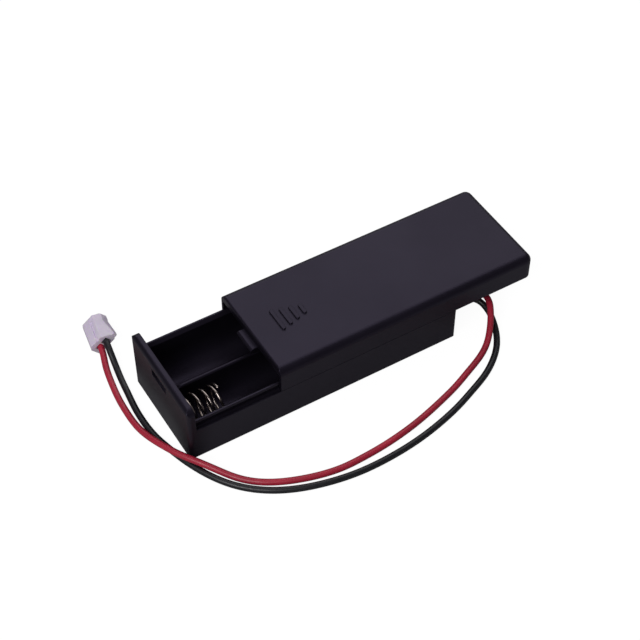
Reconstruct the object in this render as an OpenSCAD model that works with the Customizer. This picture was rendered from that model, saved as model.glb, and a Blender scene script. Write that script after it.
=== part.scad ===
// Two-cell holder for AAA size cells: a moulded tray with a sliding cover,
// sprung and flat contacts, a recessed slide switch and two leads that end in a plug.
// Origin: centre of the tray's underside. +X runs along the cells towards the lead end,
// +Z is up. Millimetres. The cover is modelled slid part of the way open.

/* [Cells] */
// Diameter of one cell
cell_d = 10.5; // [9.8:0.1:11]
// Running clearance of a cell in its bay
cell_gap = 0.3; // [0.2:0.05:0.6]
// Length of a cell bay, contact to contact
bay_l = 51; // [50:0.1:54]

/* [Tray] */
// Thickness under the cells
floor_t = 1.2; // [0.8:0.1:2]
// Thickness of the long walls beside the cells
wall_t = 1.15; // [0.9:0.05:1.6]
// Thickness of the divider between the cells
divider_t = 0.9; // [0.7:0.05:1.4]
// Height of the divider
divider_h = 8.75; // [7:0.05:10]
// Height of the lower body, where the cover's skirt stops
base_h = 9.3; // [8.6:0.1:10]
// Height of the long walls above the ledge
rim_up = 2.1; // [1.9:0.1:2.8]
// Thickness of the end plate
end_t = 1.8; // [1.5:0.1:2.6]
// Thickness of the wall between the cells and the switch bay
cross_t = 1.2; // [1:0.1:2]
// Clear length of the switch bay
switch_bay_l = 12.2; // [12:0.1:16]
// Thickness of the rear wall
rear_t = 2.1; // [2:0.1:3]
// Radius of the tray's upright edges
tray_edge_r = 1; // [0.4:0.1:1.5]
// Radius along the tray's lower long edges
tray_foot_r = 0.8; // [0.3:0.1:0.9]
// Radius along the top edge of the end plate
plate_edge_r = 1; // [0.2:0.1:1.2]
// Lead-in chamfer along the inside of the long walls
lead_in = 0.75; // [0.2:0.05:0.8]
// Height of the rail groove along each long wall
groove_h = 1; // [0.8:0.1:1.2]
// Depth of the rail groove
groove_d = 0.5; // [0.3:0.05:0.6]

/* [Cover] */
// Overall height with the cover on
total_h = 15.7; // [15:0.1:17]
// Thickness of the cover's top
top_t = 1.9; // [1.2:0.1:2.1]
// Thickness of the cover's skirts
skirt_t = 0.7; // [0.6:0.05:1]
// Side clearance between skirt and tray
slide_gap = 0.15; // [0.1:0.05:0.25]
// Radius of the cover's outer edges and rear corners, shared by the end plate's corners
cover_r = 1.8; // [1.2:0.1:2]
// Radius along the cover's front top edge
cover_front_r = 0.5; // [0.2:0.1:0.8]
// How far the cover stands open
open_x = 20.5; // [0:0.5:34]
// Width of the catch tongue
tongue_w = 6.2; // [5:0.1:8]
// Reach of the catch tongue past the cover's edge
tongue_l = 1.7; // [1:0.1:1.7]
// Thickness of the catch tongue
tongue_t = 1.3; // [0.8:0.1:1.5]
// Number of grip ribs
rib_count = 4; // [2:1:6]
// Distance from one grip rib to the next
rib_pitch = 2.1; // [1.6:0.1:3]
// Length of the longest grip rib
rib_l = 6.4; // [5.8:0.1:9]
// How much each rib is shorter than the last
rib_step = 1.15; // [0.4:0.05:1.15]
// Width of a grip rib
rib_w = 0.9; // [0.6:0.1:1.2]
// Height of a grip rib
rib_h = 0.35; // [0.2:0.05:0.6]
// Distance from the cover's edge to the first rib
rib_start = 6.8; // [4:0.1:12]

/* [Contacts] */
// Thickness of the contact plates
plate_t = 0.4; // [0.3:0.05:0.5]
// Diameter of the spring wire
wire_d = 0.6; // [0.5:0.05:0.7]
// Mean radius of a spring's first turn
coil_r = 3.6; // [3.4:0.1:3.9]
// Mean radius of a spring's last turn
coil_tip_r = 3.4; // [2.6:0.1:3.6]
// Free length of a spring
spring_l = 9.1; // [8:0.1:11]
// Height of the button on a positive contact
button_h = 0.7; // [0.4:0.1:1]
// Width of a solder tab
tab_w = 2.6; // [2:0.1:3.2]
// Reach of a solder tab into the switch bay
tab_l = 2.4; // [2:0.1:2.4]

/* [Switch] */
// Length of the switch body, across the tray
switch_l = 10; // [9:0.1:11]
// Width of the switch body
switch_w = 5; // [4.6:0.1:5]
// Height of the switch body
switch_h = 4.2; // [4:0.1:4.6]
// Travel of the slider
switch_travel = 2; // [1.5:0.1:2.4]
// Length of the knob, along its travel
knob_l = 2.4; // [2:0.1:3]
// Width of the knob
knob_w = 1.8; // [1.4:0.1:2.2]
// Depth of the finger recess under the switch
recess_d = 1.8; // [1.4:0.1:2]
// Length of the finger recess, across the tray
recess_l = 13; // [11:0.5:16]
// Width of the finger recess
recess_w = 7; // [5:0.5:8]
// Distance from one switch pin to the next
pin_pitch = 2.5; // [2:0.1:2.8]

/* [Leads] */
// Diameter of each lead
lead_d = 1.5; // [1.2:0.05:1.6]
// Height of the exit holes above the underside
exit_z = 5; // [4.4:0.1:5.4]

/* [Plug] */
// Width of the plug's body
plug_w = 5.5; // [5.3:0.1:6]
// Length of the plug
plug_l = 7.2; // [7:0.1:9]
// Thickness of the plug above the middle of its ways
plug_up = 2.1; // [1.6:0.1:2.4]
// Thickness of the plug below the middle of its ways
plug_down = 1.4; // [1.3:0.1:1.8]
// Distance between the two ways
plug_pitch = 2; // [1.95:0.05:2.2]
// How far the plug is rolled over where it lies
plug_roll = 44; // [0:1:60]

/* [Hidden] */
$fn = 48;

// overall sizes
bay_w = cell_d + cell_gap;
inset = skirt_t + slide_gap;
half_in = bay_w + divider_t / 2;
half_rim = half_in + wall_t;
half_w = half_rim + inset;
tray_w = 2 * half_w;
tray_l = end_t + bay_l + cross_t + switch_bay_l + rear_t;
front = -tray_l / 2;
bay_y = (bay_w + divider_t) / 2;
cell_z = floor_t + bay_w / 2;
rim_h = base_h + rim_up;
ceiling_z = total_h - top_t;
over = 1;

// places along X
bay_x0 = front + end_t;
bay_x1 = bay_x0 + bay_l;
sw_x0 = bay_x1 + cross_t;
sw_x1 = sw_x0 + switch_bay_l;
sw_x = (sw_x0 + sw_x1) / 2;
rear = -front;

// cover
stop_gap = 0.15;
cover_in_r = 0.4;
cover_l = tray_l - end_t - stop_gap;
cover_x0 = bay_x0 + stop_gap + open_x;
skirt_z0 = base_h + 0.1;
rail_gap = 0.15;
groove_z0 = base_h + 0.35;
rail_d = groove_d - 0.1;
tongue_top = ceiling_z;
slot_gap = 0.2;
slot_drop = 0.4;

// contacts
pocket_t = plate_t + 0.1;
plate_side = 0.2;
plate_top = cell_z + coil_r;
strap_z0 = cell_z - 2.4;
strap_z1 = cell_z + 1.2;
lug_t = 0.3;
tab_z = plate_top - 1;
tab_top = tab_z + plate_t;
tab_gap = 0.2;
neg_tab_y = bay_y - 3.2;
pos_tab_y = -bay_y;
button_r = 2.2;
coil_turns = 5;

// switch
deck_t = 1.2;
pin_hold = 1.9;
bead_r = 0.9;
bead_h = 0.9;
deck_z = recess_d + deck_t;
deck_l = recess_l + 2.4;
deck_w = recess_w + 2.4;
shell_t = 0.3;
sw_gap = 0.15;
base_t = 1;
pin_t = 0.4;
pin_w = 1.2;
pin_up = 2.8;
slider_h = 1.5;
wiper_t = 0.2;
sw_top = deck_z + switch_h;

// leads
bore_gap = 0.15;
red_exit_y = -6;
red_exit_z = exit_z;
black_exit_y = -8.5;
black_exit_z = exit_z - 0.8;
lead_sides = 8;
jumper_d = 1.2;

// plug
plug_x = -36.8;
plug_y = 23.9;
plug_turn = -9.5;
plug_z = plug_w / 2 * sin(plug_roll) + plug_down * cos(plug_roll);
plug_cut_l = 0.8;
plug_cut_r = 1.3;
plug_edge = 0.3;
ear_reach = 0.9;
nose_ear = 0.12;
nose_cut = 0.2;
plug_groove_x = 0.4;
plug_groove_w = 0.7;
cavity_w = 1.7;
cavity_h = 1.7;
nose_wall = 1;
entry_l = 2.6;
terminal_t = 0.15;

black_plastic = [0.11, 0.11, 0.12];
nickel = [0.78, 0.76, 0.74];

// route of the red lead, from its switch pin to the plug
red_route = [
    [sw_x + 0.65, 0.1, sw_top + 2.1], [sw_x + 1.65, -0.4, sw_top + pin_hold],
    [sw_x + 2.75, -1.9, sw_top + 1.1],
    [sw_x + 3.35, -3.5, 6.9], [sw_x + 4.25, -5.2, 5.6],
    [sw_x1 - 0.1, red_exit_y, red_exit_z], [38, red_exit_y, red_exit_z],
    [41.6, -6.1, 4.9], [44.2, -7.6, 4.6], [44.9, -10.2, 4.2], [43.8, -13.1, 3.6],
    [41.4, -16.5, 2.2], [38.3, -19.6, 1.1], [34.4, -22, 0.8], [30, -24, 0.8],
    [25.6, -25.9, 0.8], [21, -27.5, 0.8], [16.4, -28.9, 0.8], [11.7, -30.1, 0.8],
    [6.9, -31, 0.8], [2.1, -31.6, 0.8], [-2.7, -31.9, 0.8], [-7.5, -31.9, 0.8],
    [-12.2, -31.2, 0.8], [-16.8, -29.9, 0.8], [-21.2, -28.1, 0.8], [-25.1, -25.7, 0.8],
    [-28.4, -22.5, 0.9], [-31.3, -19.1, 1.8], [-34, -15.6, 2.5], [-36.3, -12, 2.5],
    [-38.1, -8.2, 2.3], [-39.4, -4.1, 1.6], [-40.2, 0.4, 0.9], [-40.4, 5, 0.8],
    [-40.2, 9.7, 0.8], [-39.6, 14.4, 0.9], [-38.8, 18.8, 1.6],
    plug_point(-1, -1.8), plug_point(-1, entry_l + 0.8)];

// route of the black lead, from the negative tab to the plug
black_route = [
    [sw_x0 + 1.5, 1.1, tab_top + 0.5], [sw_x0 + 1.4, -1, tab_top - 0.5],
    [sw_x0 + 1.4, -3.2, tab_top - 2.1],
    [sw_x0 + 1.8, -5.3, 6], [sw_x0 + 3.8, -7.4, 4.8],
    [sw_x1 - 0.1, black_exit_y, black_exit_z], [37, black_exit_y, black_exit_z],
    [39.2, -8.1, 4], [41, -7.6, 3.6], [42.6, -7.9, 3.1], [43.7, -8.9, 2.6],
    [44.2, -10.4, 2.1], [44.2, -12.4, 1.6], [43.6, -14.9, 1.1], [42.3, -17.9, 0.8],
    [40, -21.2, 0.8], [36.6, -24.3, 0.8], [32.6, -26.8, 0.8], [28.3, -28.7, 0.8],
    [23.3, -30.7, 0.8], [18.2, -32.3, 0.8], [10.4, -34, 0.8], [2.5, -34.8, 0.8],
    [-5.4, -34.7, 0.8], [-13.1, -33.4, 0.8], [-18, -31.9, 0.8], [-24.5, -28.6, 0.8],
    [-29.8, -23.8, 0.8], [-32.4, -20, 0.8], [-34.3, -16.2, 0.8], [-35.8, -12.3, 0.8],
    [-37, -8.2, 0.8], [-38, -3.9, 0.8], [-38.4, 0.6, 0.8], [-38.3, 5.2, 0.8],
    [-37.8, 9.8, 0.8], [-37.3, 14.2, 0.9], [-36.8, 18.2, 1.9],
    plug_point(1, -1.8), plug_point(1, entry_l + 0.8)];

// route of the short wire from the positive tab to the first switch pin
jumper_route = [
    [sw_x0 + 1.6, pos_tab_y + 0.9, tab_top + 0.8], [sw_x0 + 2.4, pos_tab_y + 2, tab_top + 0.9],
    [sw_x0 + 3.7, pos_tab_y + 2.9, tab_top + 0.6], [sw_x - 0.9, -pin_pitch, sw_top + pin_hold + 0.4]];

// point in way s of the plug, -1 or 1, at y from the face where the leads enter
function plug_point(s, y) =
    let (x = s * plug_pitch / 2 * cos(plug_roll), z = s * plug_pitch / 2 * sin(plug_roll))
    [plug_x + x * cos(plug_turn) - y * sin(plug_turn),
     plug_y + x * sin(plug_turn) + y * cos(plug_turn), plug_z + z];

// unit vector along v
function unit(v) = v / norm(v);

// direction of a route at point i
function heading(path, i) =
    unit(path[min(i + 1, len(path) - 1)] - path[max(i - 1, 0)]);

// one ring of the tube round point i, square to the route and level
function ring(path, i, r, n) =
    let (t = heading(path, i), s = unit(cross(t, [0, 0, 1])), u = cross(s, t))
    [for (k = [0 : n - 1]) path[i] + r * (cos(360 * k / n) * s + sin(360 * k / n) * u)];

// faces that skin rings of n points, m rings long, with flat ends
function skin_faces(m, n) = concat(
    [[for (k = [0 : n - 1]) k]],
    [for (i = [0 : m - 2]) for (k = [0 : n - 1])
        [i * n + k, (i + 1) * n + k, (i + 1) * n + (k + 1) % n, i * n + (k + 1) % n]],
    [[for (k = [n - 1 : -1 : 0]) (m - 1) * n + k]]);

// a tube of diameter d swept along a route
module tube(path, d, n) {
    points = [for (i = [0 : len(path) - 1]) for (p = ring(path, i, d / 2, n)) p];
    polyhedron(points = points, faces = skin_faces(len(path), n), convexity = 8);
}

// rectangle centred on Y with its upper corners rounded to r
module arched(w, z0, z1, r) {
    translate([-w / 2, z0]) square([w, z1 - r - z0]);
    translate([-w / 2 + r, z0]) square([w - 2 * r, z1 - z0]);
    for (s = [-1, 1]) translate([s * (w / 2 - r), z1 - r]) circle(r);
}

// the same outline carried along X from x0 to x1
module arched_bar(w, z0, z1, r, x0, x1) {
    translate([x0, 0, 0]) rotate([90, 0, 90]) linear_extrude(x1 - x0) arched(w, z0, z1, r);
}

// bar along X with its two lower edges rounded to r
module footed_bar(w, z1, r, x0, x1) {
    translate([0, 0, z1]) mirror([0, 0, 1]) arched_bar(w, 0, z1, r, x0, x1);
}

// rectangle from x0 to x1, centred on Y, with front corners rf and rear corners rr
module plan(x0, x1, w, rf, rr) {
    translate([x0 + rf, -w / 2]) square([x1 - x0 - rf - rr, w]);
    translate([x0, -w / 2 + rf]) square([rf, w - 2 * rf]);
    translate([x1 - rr, -w / 2 + rr]) square([rr, w - 2 * rr]);
    for (s = [-1, 1]) {
        translate([x0 + rf, s * (w / 2 - rf)]) circle(rf);
        translate([x1 - rr, s * (w / 2 - rr)]) circle(rr);
    }
}

// rounded slab lying flat, centred at the origin
module slab(l, w, h, r) {
    linear_extrude(h) {
        square([l - 2 * r, w], center = true);
        square([l, w - 2 * r], center = true);
        for (sx = [-1, 1], sy = [-1, 1]) translate([sx * (l / 2 - r), sy * (w / 2 - r)]) circle(r);
    }
}

// box given by its two corners
module box(a, b) {
    translate(a) cube(b - a);
}

// outside of the tray: lower body, inset walls and the tall end plate
module tray_outside() {
    intersection() {
        linear_extrude(total_h) plan(front, rear, tray_w, tray_edge_r, tray_edge_r);
        union() {
            footed_bar(tray_w, base_h, tray_foot_r, front, rear);
            linear_extrude(rim_h)
                plan(front, rear - inset, 2 * half_rim, tray_edge_r, cover_r - inset);
            difference() {
                arched_bar(tray_w, base_h - over, total_h, cover_r, front, bay_x0);
                top_edge_cut(front, plate_edge_r);
            }
        }
    }
}

// what a rounding r along a top edge at x takes away, the edge facing the near end of X
module top_edge_cut(x, r) {
    w = half_w + over;
    difference() {
        box([x - over, -w, total_h - r], [x + r, w, total_h + over]);
        translate([x + r, 0, total_h - r]) rotate([90, 0, 0])
            cylinder(r = r, h = 2 * w + over, center = true);
    }
}

// one cell bay: a round cradle, open at the top, with a square pocket at each end
module bay(s) {
    translate([bay_x0, s * bay_y, cell_z]) rotate([0, 90, 0]) cylinder(d = bay_w, h = bay_l);
    box([bay_x0, s * bay_y - bay_w / 2, cell_z], [bay_x1, s * bay_y + bay_w / 2, total_h + over]);
    for (x = [bay_x0, bay_x1 - pocket_t])
        box([x, s * bay_y - bay_w / 2, floor_t], [x + pocket_t, s * bay_y + bay_w / 2, total_h]);
}

// lead-in chamfer along the inside of the long wall on side s
module wall_lead_in(s) {
    c = lead_in;
    translate([bay_x0, 0, 0]) rotate([90, 0, 90]) linear_extrude(bay_l) polygon([
        [s * (half_in - c), rim_h - c], [s * half_in, rim_h - c], [s * (half_in + c), rim_h],
        [s * (half_in + c), rim_h + c], [s * (half_in - c), rim_h + c]]);
}

// what is cut from the divider's two upper edges
module divider_edge_cut() {
    w = divider_t / 2;
    c = divider_t / 3;
    for (s = [-1, 1])
        translate([bay_x0, 0, 0]) rotate([90, 0, 90]) linear_extrude(bay_l) polygon([
            [s * w, divider_h - c], [s * 2 * w, divider_h - c], [s * 2 * w, divider_h + c],
            [s * (w - c), divider_h + c], [s * (w - c), divider_h]]);
}

// what is cut from the divider: its height, its round front corner, the strap's way
module divider_cut() {
    r = 3;
    gap = 1;
    x0 = bay_x0 + gap;
    box([bay_x0, -bay_y, divider_h], [bay_x1, bay_y, total_h + over]);
    box([bay_x0, -bay_y, strap_z0 - 0.3], [bay_x0 + pocket_t, bay_y, total_h]);
    difference() {
        box([bay_x0, -divider_t, divider_h - r], [x0 + r, divider_t, divider_h + over]);
        translate([x0 + r, 0, divider_h - r]) rotate([90, 0, 0])
            cylinder(r = r, h = 3 * divider_t, center = true);
    }
}

// notch through the cross wall for one solder tab
module tab_notch(y) {
    w = tab_w + 2 * tab_gap;
    box([bay_x1 - over / 2, y - w / 2, tab_z - tab_gap], [sw_x0 + over, y + w / 2, total_h]);
}

// hollow of the switch bay, with the deck over the finger recess left standing
module switch_bay() {
    difference() {
        box([sw_x0, -half_in, floor_t], [sw_x1, half_in, total_h]);
        translate([sw_x, 0, 0]) slab(deck_w, deck_l, deck_z, 1.5);
        for (s = [-1, 1]) switch_clip(s);
    }
}

// upright rib that holds one long side of the switch
module switch_clip(s) {
    t = 0.8;
    inner = switch_w / 2 + sw_gap;
    x = sw_x + (s > 0 ? inner : -inner - t);
    box([x, -switch_l / 2 + 1, deck_z - over / 2], [x + t, switch_l / 2 - 1, deck_z + switch_h * 0.6]);
}

// finger recess in the underside and the window for the knob
module switch_opening() {
    translate([sw_x, 0, -over]) slab(recess_w, recess_l, recess_d + over, 1.5);
    box([sw_x - knob_w / 2 - 0.2, -knob_l / 2 - switch_travel / 2 - 0.2, 0],
        [sw_x + knob_w / 2 + 0.2, knob_l / 2 + switch_travel / 2 + 0.2, deck_z + over / 2]);
}

// one rail groove along a long wall, open at the rear
module rail_groove(s) {
    y0 = half_rim - groove_d;
    y1 = half_rim + over;
    box([bay_x0, min(s * y0, s * y1), groove_z0], [rear, max(s * y0, s * y1), groove_z0 + groove_h]);
}

// exit hole of one lead through the rear wall
module lead_hole(y, z) {
    translate([sw_x1 - over, y, z]) rotate([0, 90, 0])
        cylinder(d = lead_d + 2 * bore_gap, h = rear_t + 2 * over);
}

module tray() {
    color(black_plastic) difference() {
        tray_outside();
        for (s = [-1, 1]) {
            bay(s);
            wall_lead_in(s);
            rail_groove(s);
        }
        divider_cut();
        divider_edge_cut();
        tab_notch(neg_tab_y);
        tab_notch(pos_tab_y);
        switch_bay();
        switch_opening();
        // catch slot in the end plate
        box([front - over, -tongue_w / 2 - slot_gap, tongue_top - tongue_t - slot_gap - slot_drop],
            [bay_x0 + over, tongue_w / 2 + slot_gap, tongue_top + slot_gap]);
        lead_hole(red_exit_y, red_exit_z);
        lead_hole(black_exit_y, black_exit_z);
    }
}

// cover's outside from z0 to z1, ending at x1: upper edges and rear corners rounded to r
module cover_outside(w, z0, z1, r, x0, x1) {
    y = w / 2 - r;
    arched_bar(w, z0, z1, r, x0, x1 - r);
    translate([0, 0, z0]) linear_extrude(z1 - r - z0) plan(x0, x1, w, 0.1, r);
    translate([x1 - r, 0, z1 - r]) rotate([90, 0, 0]) cylinder(r = r, h = 2 * y, center = true);
    for (s = [-1, 1]) translate([x1 - r, s * y, z1 - r]) sphere(r);
}

// cover's inside: the same without rounding along its rear top edge
module cover_inside(w, z0, z1, r, x0, x1) {
    intersection() {
        arched_bar(w, z0, z1, cover_in_r, x0, x1);
        translate([0, 0, z0]) linear_extrude(z1 - z0) plan(x0, x1, w, 0.1, r);
    }
}

// grip rib number i, with round ends
module grip_rib(i) {
    l = rib_l - i * rib_step;
    x = cover_x0 + rib_start + i * rib_pitch;
    translate([x, 0, total_h]) slab(rib_w, l, rib_h, rib_w / 2 - 0.02);
}

// rail along the inside of one skirt, running in the tray's groove
module cover_rail(s) {
    y0 = half_rim + slide_gap - rail_d;
    y1 = half_rim + slide_gap + skirt_t / 2;
    box([cover_x0, min(s * y0, s * y1), groove_z0 + rail_gap],
        [cover_x0 + cover_l - cover_r - 2, max(s * y0, s * y1), groove_z0 + groove_h - rail_gap]);
}

module sliding_cover() {
    x1 = cover_x0 + cover_l;
    color(black_plastic * 1.3) {
        difference() {
            cover_outside(tray_w, skirt_z0, total_h, cover_r, cover_x0 - over, x1);
            cover_inside(tray_w - 2 * skirt_t, skirt_z0 - over, ceiling_z, cover_r - skirt_t,
                         cover_x0 - over, x1 - skirt_t);
            box([cover_x0 - 2 * over, -half_w - over, 0], [cover_x0, half_w + over, total_h + over]);
            top_edge_cut(cover_x0, cover_front_r);
        }
        for (s = [-1, 1]) cover_rail(s);
        for (i = [0 : rib_count - 1]) grip_rib(i);
        catch_tongue();
    }
}

// tongue under the cover's top that enters the slot in the end plate
module catch_tongue() {
    c = 0.4;
    z0 = tongue_top - tongue_t;
    translate([0, tongue_w / 2, 0]) rotate([90, 0, 0]) linear_extrude(tongue_w) polygon([
        [cover_x0 + 6, tongue_top + 0.2], [cover_x0, tongue_top + 0.2], [cover_x0, tongue_top],
        [cover_x0 - tongue_l + c, tongue_top], [cover_x0 - tongue_l, tongue_top - c],
        [cover_x0 - tongue_l, z0 + c], [cover_x0 - tongue_l + c, z0], [cover_x0 + 4, z0]]);
}

// face of a contact plate in one bay, standing at x and facing along X
module plate_face(x, y, w, z1) {
    translate([x, y, 0]) rotate([90, 0, 90]) linear_extrude(plate_t)
        arched(w, floor_t + 0.05, z1, 1.5);
}

// pressed button of a positive contact, pointing along s
module button(x, y, s) {
    translate([x, y, cell_z]) rotate([0, 90 * s, 0])
        cylinder(r1 = button_r, r2 = button_r - 0.7, h = button_h);
}

// places of the two springs, each standing on its contact plate
module at_bridge_coil() {
    translate([bay_x0 + plate_t, -bay_y, cell_z]) children();
}
module at_rear_coil() {
    translate([bay_x1 - plate_t, bay_y, cell_z]) rotate([0, 0, 180]) children();
}

// two lugs that clip a spring's first turn to its plate
module coil_lugs() {
    r0 = coil_r - 0.2;
    r1 = coil_r + wire_d / 2 + 0.1;
    for (a = [50, 150]) rotate([a, 0, 0]) {
        far = coil_x(a / 360) + wire_d + 0.1;
        box([0, -0.6, r1], [far + lug_t, 0.6, r1 + lug_t]);
        box([far, -0.6, r0], [far + lug_t, 0.6, r1 + lug_t]);
    }
}

// strip across both bays at the end plate: button one side, spring seat the other
module bridge_plate() {
    w = bay_w - 2 * plate_side;
    color(nickel) {
        for (s = [-1, 1]) plate_face(bay_x0, s * bay_y, w, plate_top);
        box([bay_x0, -bay_y, strap_z0], [bay_x0 + plate_t, bay_y, strap_z1]);
        button(bay_x0 + plate_t, bay_y, 1);
        at_bridge_coil() coil_lugs();
    }
}

// contact plate at the cross wall, with a tab through its notch
module end_contact(y, tab_y) {
    w = bay_w - 2 * plate_side;
    plate_face(bay_x1 - plate_t, y, w, plate_top);
    box([bay_x1 - plate_t, tab_y - tab_w / 2, tab_z - over],
        [bay_x1, tab_y + tab_w / 2, tab_z + plate_t]);
    box([bay_x1 - plate_t, tab_y - tab_w / 2, tab_z], [sw_x0 + tab_l, tab_y + tab_w / 2, tab_z + plate_t]);
}

module positive_plate() {
    color(nickel) {
        end_contact(-bay_y, pos_tab_y);
        button(bay_x1 - plate_t, -bay_y, -1);
    }
}

module negative_plate() {
    color(nickel) {
        end_contact(bay_y, neg_tab_y);
        at_rear_coil() coil_lugs();
    }
}

// right-handed spring at turn t: its advance, its mean radius, a ring of its wire
function coil_x(t) =
    let (closed = 0.75, p0 = wire_d * 1.04, open = coil_turns - 2 * closed,
         p1 = (spring_l - wire_d - 2 * p0 * closed) / open)
    p0 * min(t, closed) + p1 * max(0, min(t - closed, open)) + p0 * max(0, t - closed - open);
function coil_radius(t) = coil_r + (coil_tip_r - coil_r) * t / coil_turns;
function coil_ring(t, n) =
    [for (k = [0 : n - 1])
        let (q = coil_radius(t) + wire_d / 2 * cos(360 * k / n))
        [coil_x(t) + wire_d / 2 * sin(360 * k / n), -q * sin(360 * t), q * cos(360 * t)]];

// helical spring along +X, its first turn lying against the plane x = 0
module coil() {
    sides = 6;
    steps = 18;
    m = coil_turns * steps + 1;
    points = [for (i = [0 : m - 1]) for (p = coil_ring(i / steps, sides)) p];
    translate([wire_d / 2, 0, 0])
        polyhedron(points = points, faces = skin_faces(m, sides), convexity = 10);
}

module bridge_spring() {
    color(nickel) at_bridge_coil() coil();
}

module negative_spring() {
    color(nickel) at_rear_coil() coil();
}

// folded metal shell round the switch, open above
module switch_shell() {
    color(nickel) translate([sw_x, 0, deck_z]) difference() {
        box([-switch_w / 2, -switch_l / 2, 0], [switch_w / 2, switch_l / 2, switch_h]);
        box([-switch_w / 2 + shell_t, -switch_l / 2 + shell_t, shell_t],
            [switch_w / 2 - shell_t, switch_l / 2 - shell_t, switch_h + over]);
        box([-knob_w / 2 - 0.1, -knob_l / 2 - switch_travel / 2 - 0.1, -over],
            [knob_w / 2 + 0.1, knob_l / 2 + switch_travel / 2 + 0.1, over]);
    }
}

// insulating board that closes the shell and carries the pins
module switch_base() {
    color([0.35, 0.2, 0.12]) translate([sw_x, 0, sw_top - base_t]) difference() {
        box([-switch_w / 2 + shell_t, -switch_l / 2 + shell_t, 0],
            [switch_w / 2 - shell_t, switch_l / 2 - shell_t, base_t]);
        for (i = [-1, 0, 1])
            box([-pin_t / 2, i * pin_pitch - pin_w / 2, -over],
                [pin_t / 2, i * pin_pitch + pin_w / 2, base_t + over]);
    }
}

// switch pin number i: a head inside the shell and a blade through the board
module switch_pin(i) {
    color([0.8, 0.7, 0.45]) translate([sw_x, i * pin_pitch, sw_top - base_t]) {
        box([-0.9, -pin_w / 2, -0.25], [0.9, pin_w / 2, 0]);
        box([-pin_t / 2, -pin_w / 2, -0.25], [pin_t / 2, pin_w / 2, base_t + pin_up]);
    }
}

// slider block with its knob through shell and window, in the off position
module switch_slider() {
    y = switch_travel / 2;
    h = shell_t + 0.05;
    color(black_plastic * 0.8) translate([sw_x, y, deck_z]) {
        box([-switch_w / 2 + shell_t + 0.15, -2.6, h], [switch_w / 2 - shell_t - 0.15, 2.6, h + slider_h]);
        translate([0, 0, 0.35 - deck_z]) slab(knob_w, knob_l, deck_z, 0.3);
        for (k = [-1, 1])
            box([-knob_w / 2, k * 0.9 - 0.2, 0.15 - deck_z], [knob_w / 2, k * 0.9 + 0.2, 1 - deck_z]);
    }
}

// sprung clip on the slider that joins two pins
module switch_wiper() {
    z = deck_z + shell_t + 0.05 + slider_h;
    top = sw_top - base_t - 0.3;
    color([0.8, 0.7, 0.45]) translate([sw_x, switch_travel / 2, 0]) {
        box([-1.2, -2.2, z], [1.2, 2.2, z + wiper_t]);
        for (s = [-1, 1]) {
            box([-1.2, s * 2.1 - 0.1, z], [1.2, s * 2.1 + 0.1, top - wiper_t]);
            box([-0.8, s * 1.6 - 0.6, top - wiper_t], [0.8, s * 1.6 + 0.6, top]);
        }
    }
}

module jumper_wire() {
    color([0.75, 0.1, 0.12]) tube(jumper_route, jumper_d, lead_sides);
}

// bead of solder rising from the plane z = 0
module solder_bead() {
    cylinder(r1 = bead_r, r2 = bead_r * 0.55, h = bead_h);
}

// solder: two beads on the tabs and two on the switch pins
module solder_joints() {
    color([0.7, 0.7, 0.7]) {
        translate([sw_x0 + 1.5, neg_tab_y - 0.3, tab_top]) solder_bead();
        translate([sw_x0 + 1.4, pos_tab_y, tab_top]) solder_bead();
        for (i = [-1, 0])
            translate([sw_x + (i < 0 ? -1 : 1) * pin_t / 2, i * pin_pitch, sw_top + pin_hold])
                rotate([0, i < 0 ? -90 : 90, 0]) scale(0.8) solder_bead();
    }
}

module red_lead() {
    color([0.75, 0.1, 0.12]) tube(red_route, lead_d, lead_sides);
}

module black_lead() {
    color([0.08, 0.08, 0.09]) tube(black_route, lead_d, lead_sides);
}

// place children on the plug: +Y towards its nose, X across its two ways
module at_plug() {
    translate([plug_x, plug_y, plug_z]) rotate([0, 0, plug_turn]) rotate([0, -plug_roll, 0])
        children();
}

// outline across the plug, its ears included
module plug_outline() {
    w = plug_w / 2;
    e = plug_edge;
    polygon([
        [-w, e - plug_down], [e - w, -plug_down], [w - e, -plug_down], [w, e - plug_down],
        [w + ear_reach, e - plug_down], [w + ear_reach, plug_up - plug_cut_r - ear_reach],
        [w - plug_cut_r, plug_up], [plug_cut_l - w, plug_up], [-w, plug_up - plug_cut_l]]);
}

// plug seen from above: an ear that slopes out to the lead end, a small one at the nose
module plug_plan() {
    w = plug_w / 2;
    l = plug_l;
    polygon([
        [-w, 0], [w + ear_reach - 0.1, 0], [w + ear_reach, 0.2], [w + ear_reach, 0.8],
        [w, l - 2], [w, l - 1.8], [w + nose_ear, l - 1.5], [w + nose_ear, l - nose_cut],
        [w + nose_ear - nose_cut, l], [nose_cut - w, l], [-w, l - nose_cut]]);
}

module plug_housing() {
    color([0.93, 0.92, 0.9]) at_plug() difference() {
        intersection() {
            translate([0, plug_l, 0]) rotate([90, 0, 0]) linear_extrude(plug_l) plug_outline();
            translate([0, 0, -plug_down]) linear_extrude(plug_down + plug_up) plug_plan();
        }
        for (s = [-1, 1]) {
            x = s * plug_pitch / 2;
            box([x - cavity_w / 2, -over, -cavity_h / 2],
                [x + cavity_w / 2, plug_l - nose_wall, cavity_h / 2]);
            // way for the mating pin
            box([x - 0.45, plug_l - 2 * over, -0.45], [x + 0.45, plug_l + over, 0.45]);
            // window over the contact's catch
            box([x - 0.5, 3.4, -plug_down - over], [x + 0.5, 5.2, 0]);
        }
        // groove along the upper face
        translate([plug_groove_x, 0, 0])
            box([-plug_groove_w / 2, -over, plug_up - 0.35],
                [plug_groove_w / 2, plug_l - 1.4, plug_up + over]);
    }
}

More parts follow.
